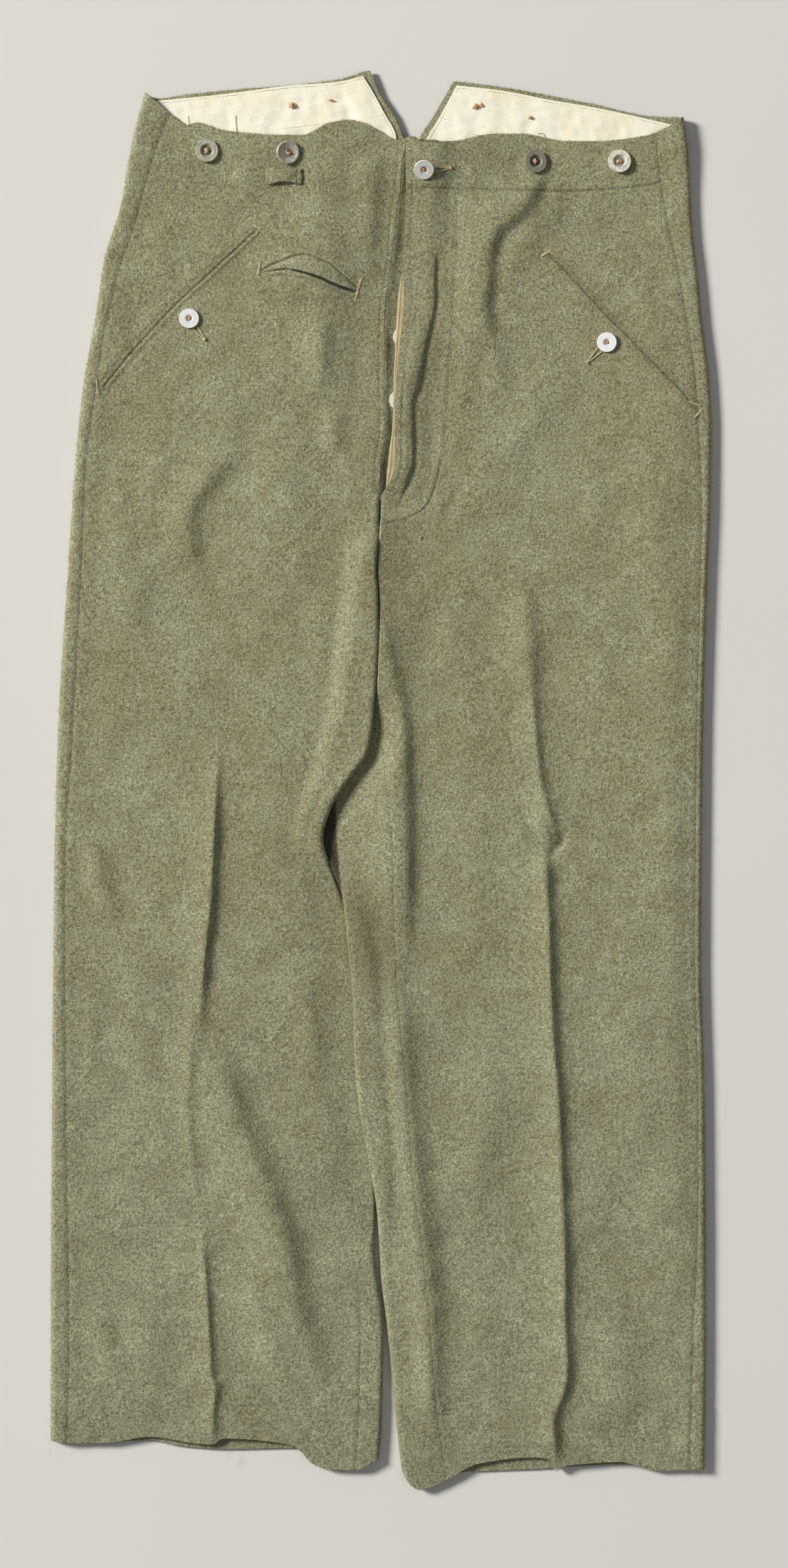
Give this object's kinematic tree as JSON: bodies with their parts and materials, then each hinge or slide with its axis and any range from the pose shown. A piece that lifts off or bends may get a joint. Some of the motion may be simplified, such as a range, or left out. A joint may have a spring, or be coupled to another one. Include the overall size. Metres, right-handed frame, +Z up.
{
  "type": "military trousers",
  "caption": "Heavy field-grey wool military trousers laid out flat, face up, with brace buttons, slanted buttoned pockets, button fly and cream waist lining",
  "frame": {"origin": "middle of the garment's bounding box, on the surface that it lies on", "axes": "+X towards the wearer's left, +Y from the hems to the waist, +Z up from the surface, out of the garment's front"},
  "size_m": [0.4798, 1.0298, 0.0138],
  "materials": {
    "wool": "heavy fulled wool cloth in mottled field grey, short raised nap, matt",
    "cotton_cream": "cream cotton twill lining, matt",
    "cotton_tan": "tan cotton twill facing, matt",
    "zinc_grey": "dull grey zinc-coated steel, dished, four holes",
    "zinc_dark": "dark slate-grey painted steel, dished, four holes",
    "zinc_bright": "pale bare zinc, dished, four holes, satin"
  },
  "bodies": {
    "root": {"front_right": "wool", "front_left": "wool", "back_right": "wool", "back_left": "wool", "waist_lining_right": "cotton_cream", "waist_lining_left": "cotton_cream", "fly_underlap": "wool", "fly_facing": "cotton_tan", "pocket_facing_right": "wool", "pocket_facing_left": "wool", "watch_pocket_facing": "wool", "watch_chain_loop": "wool", "brace_button_front_1": "zinc_grey", "brace_button_front_2": "zinc_grey", "brace_button_front_3": "zinc_dark", "brace_button_front_4": "zinc_grey", "brace_button_back_1": "zinc_grey", "brace_button_back_2": "zinc_grey", "waist_button": "zinc_bright", "fly_button_1": "zinc_bright", "fly_button_2": "zinc_bright", "fly_button_3": "zinc_bright", "fly_button_4": "zinc_bright", "pocket_button_right": "zinc_bright", "pocket_button_left": "zinc_bright"}
  },
  "joints": []
}
